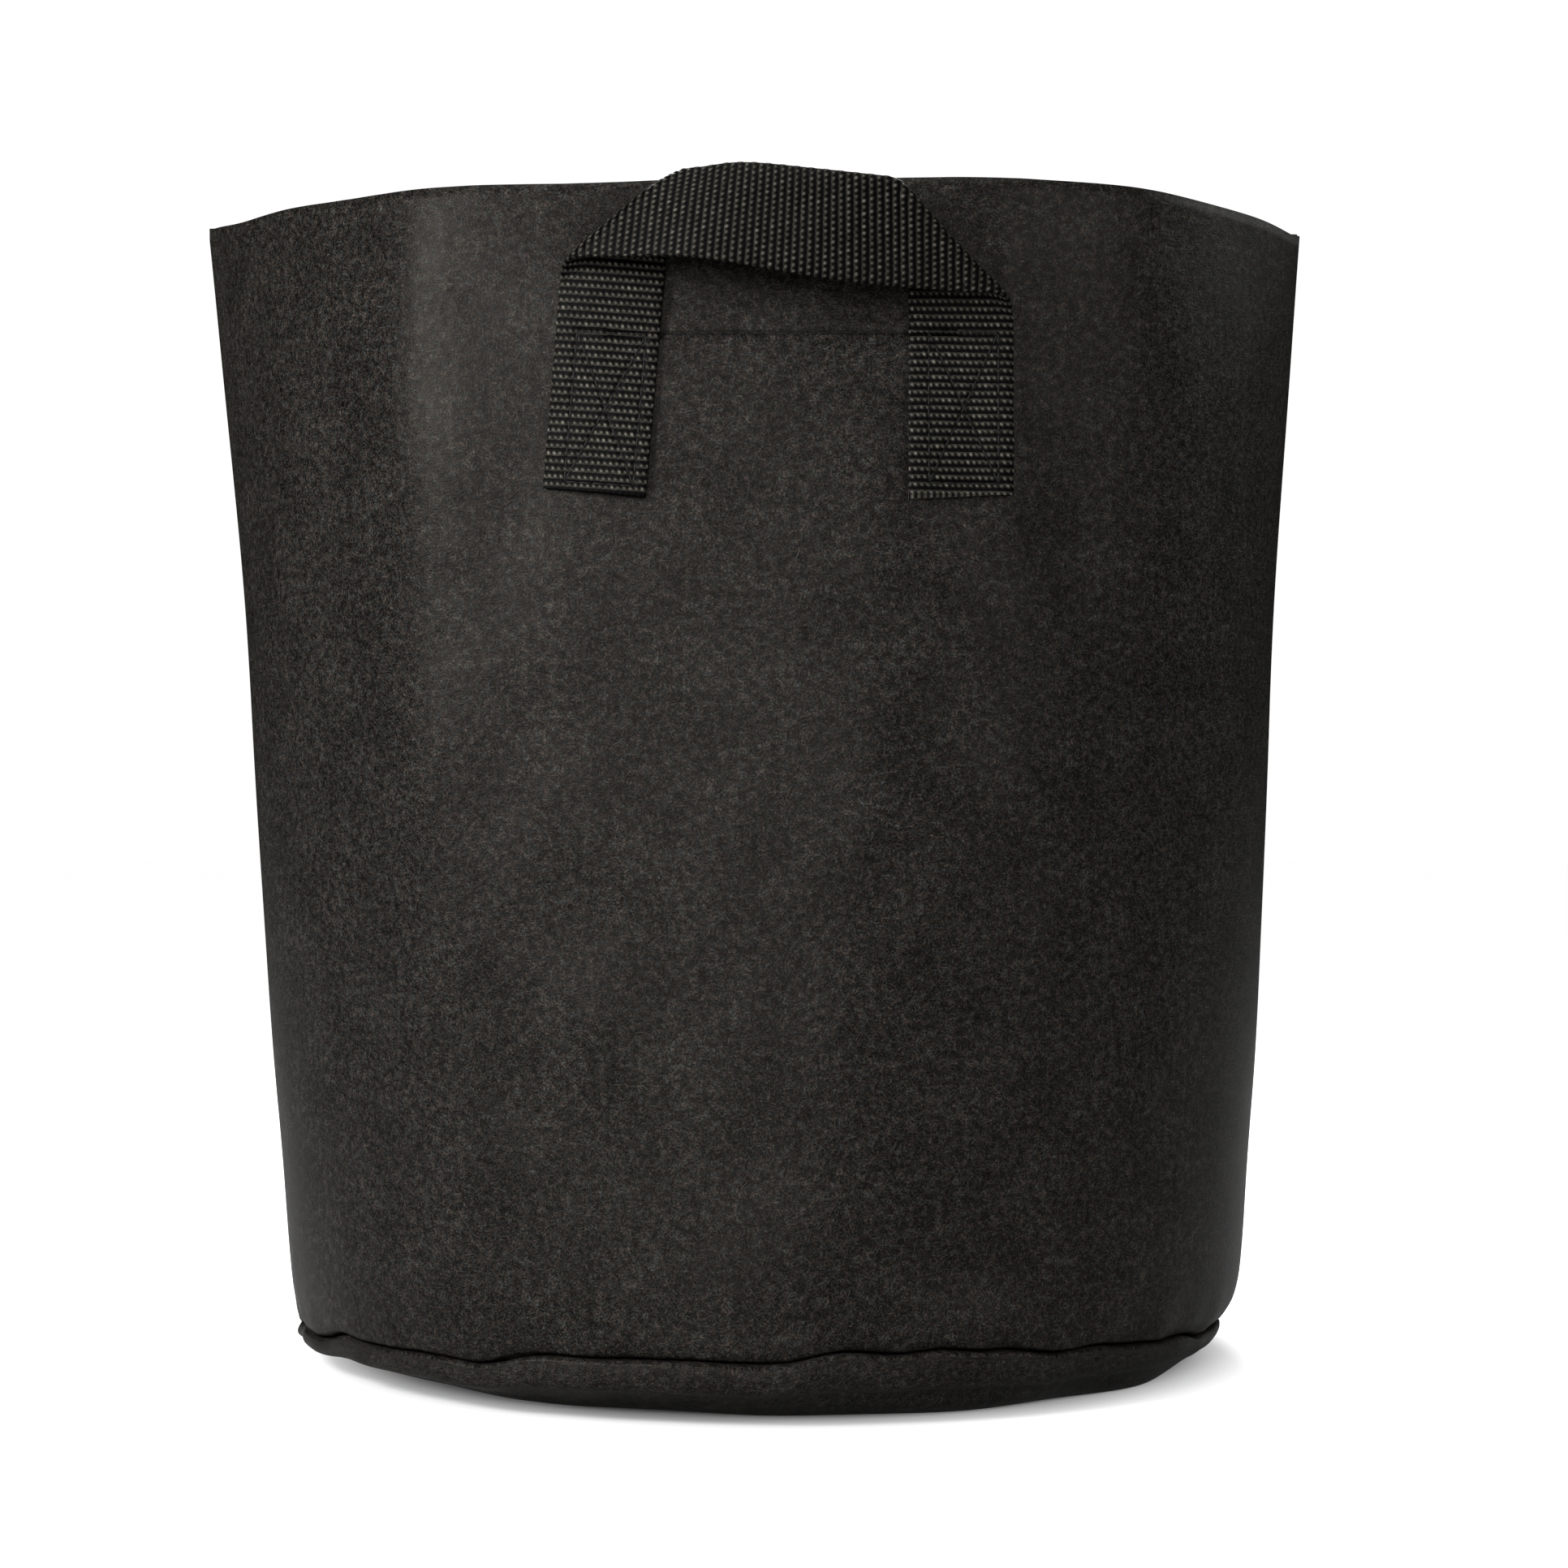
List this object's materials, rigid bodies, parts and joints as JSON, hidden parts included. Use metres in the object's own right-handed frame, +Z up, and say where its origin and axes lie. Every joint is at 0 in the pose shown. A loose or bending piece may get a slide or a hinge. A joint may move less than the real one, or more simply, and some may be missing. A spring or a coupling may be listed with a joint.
{
  "type": "fabric grow bag",
  "caption": "Round felt planter bag, open at the top, with a sewn base and a folded webbing grip on each side.",
  "frame": {"origin": "middle of the base, on the floor that the bag stands on", "axes": "+Z up, -Y towards the front handle, +X towards the side seam"},
  "size_m": [0.299, 0.2608, 0.305],
  "materials": {
    "felt": "charcoal needle-punched felt, matt, with fine grey fibres",
    "webbing": "black woven polypropylene webbing, slight sheen",
    "thread": "black sewing thread"
  },
  "bodies": {
    "bag": {"wall_panel": "felt", "base_panel": "felt", "side_seam_needle_thread": "thread", "side_seam_bobbin_thread": "thread", "base_seam_needle_thread": "thread", "base_seam_bobbin_thread": "thread", "front_left_tab": "webbing", "front_right_tab": "webbing", "front_handle_needle_thread": "thread", "front_handle_bobbin_thread": "thread", "back_left_tab": "webbing", "back_right_tab": "webbing", "back_handle_needle_thread": "thread", "back_handle_bobbin_thread": "thread"},
    "front_handle": {"front_grip_loop": "webbing"},
    "back_handle": {"back_grip_loop": "webbing"}
  },
  "joints": [
    {"name": "front_handle_bend", "type": "hinge", "parent": "bag", "child": "front_handle", "pos_m": [0.0115, -0.111, 0.2658], "axis": [1, 0, 0], "range_deg": [0, 105]},
    {"name": "back_handle_bend", "type": "hinge", "parent": "bag", "child": "back_handle", "pos_m": [0.0115, 0.111, 0.2658], "axis": [-1, 0, 0], "range_deg": [0, 105]}
  ]
}
